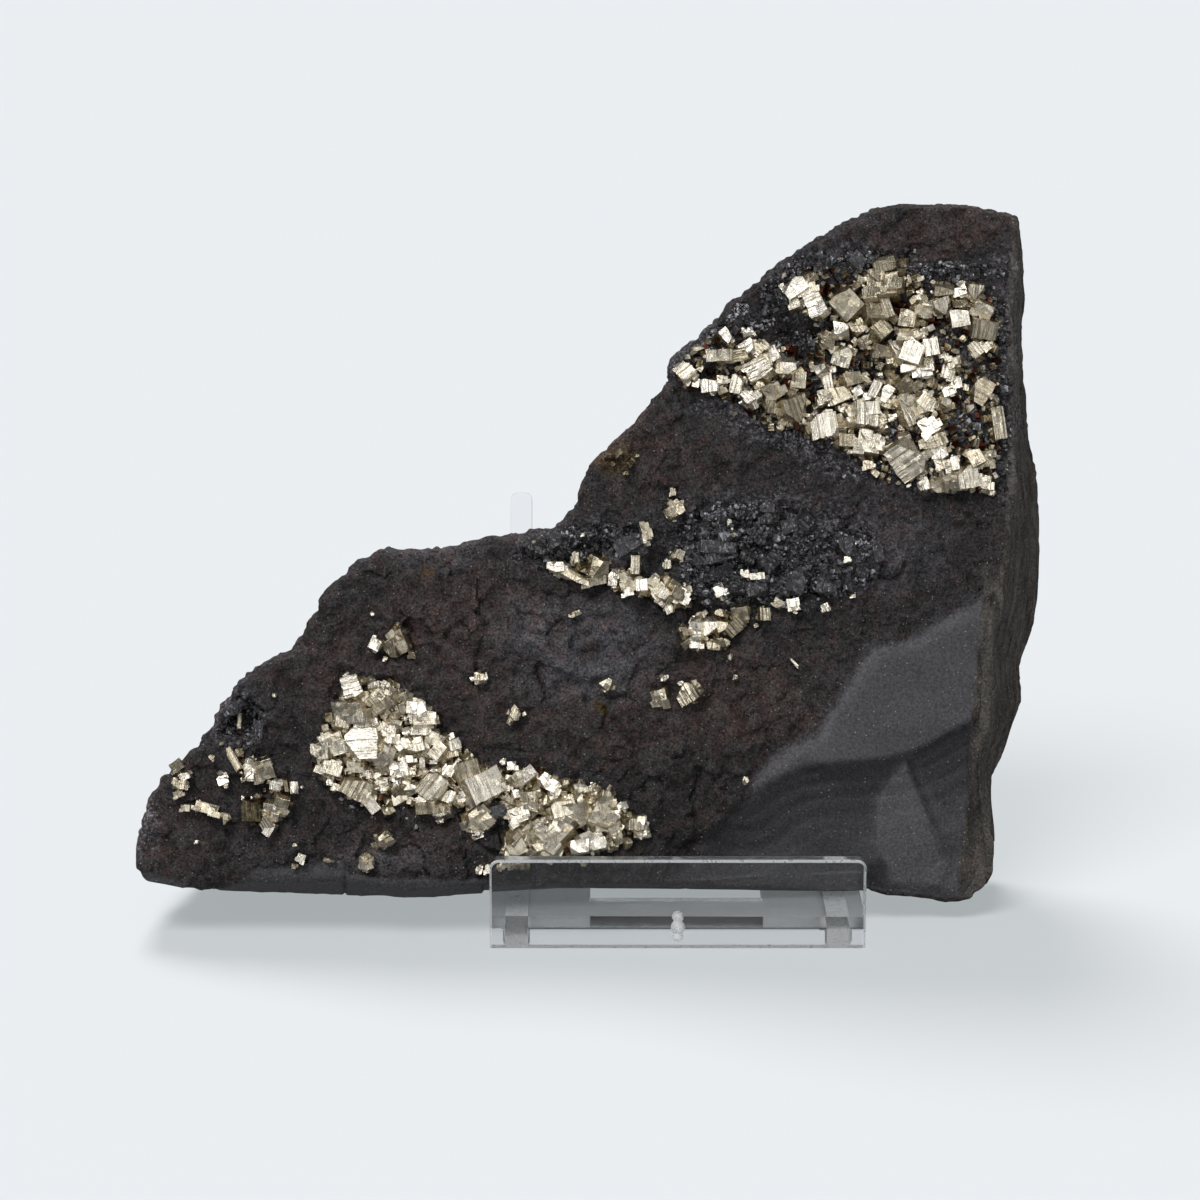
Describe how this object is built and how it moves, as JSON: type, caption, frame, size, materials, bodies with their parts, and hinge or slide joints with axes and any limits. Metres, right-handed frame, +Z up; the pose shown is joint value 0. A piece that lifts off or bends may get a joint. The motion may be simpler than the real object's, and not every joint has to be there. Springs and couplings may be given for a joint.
{
  "type": "pyrite specimen",
  "caption": "Leaning slab of dark rock with groups of brassy pyrite cubes on its face, held on a small clear plastic easel.",
  "frame": {"origin": "on the surface it stands on, under the middle of the whole", "axes": "+X to the right across the face, +Y from the lip of the stand to its back, +Z up"},
  "size_m": [0.1476, 0.0652, 0.1141],
  "materials": {
    "stone": "rough, near black, with glittering dark patches",
    "pyrite": "pale brass cubes, bright to dull",
    "clear_plastic": "clear and glossy"
  },
  "bodies": {
    "root": {"matrix": "stone", "pyrite_upper": "pyrite", "pyrite_lower": "pyrite", "pyrite_seam_left": "pyrite", "pyrite_seam_right": "pyrite", "pyrite_left": "pyrite", "pyrite_single_1": "pyrite", "pyrite_single_2": "pyrite", "pyrite_single_3": "pyrite", "pyrite_single_4": "pyrite", "pyrite_single_5": "pyrite", "pyrite_single_6": "pyrite", "pyrite_single_7": "pyrite", "pyrite_single_8": "pyrite", "pyrite_single_9": "pyrite", "pyrite_single_10": "pyrite", "pyrite_single_11": "pyrite", "pyrite_single_12": "pyrite", "pyrite_single_13": "pyrite", "pyrite_single_14": "pyrite", "pyrite_single_15": "pyrite", "pyrite_single_16": "pyrite", "pyrite_single_17": "pyrite", "stand": "clear_plastic"}
  },
  "joints": []
}
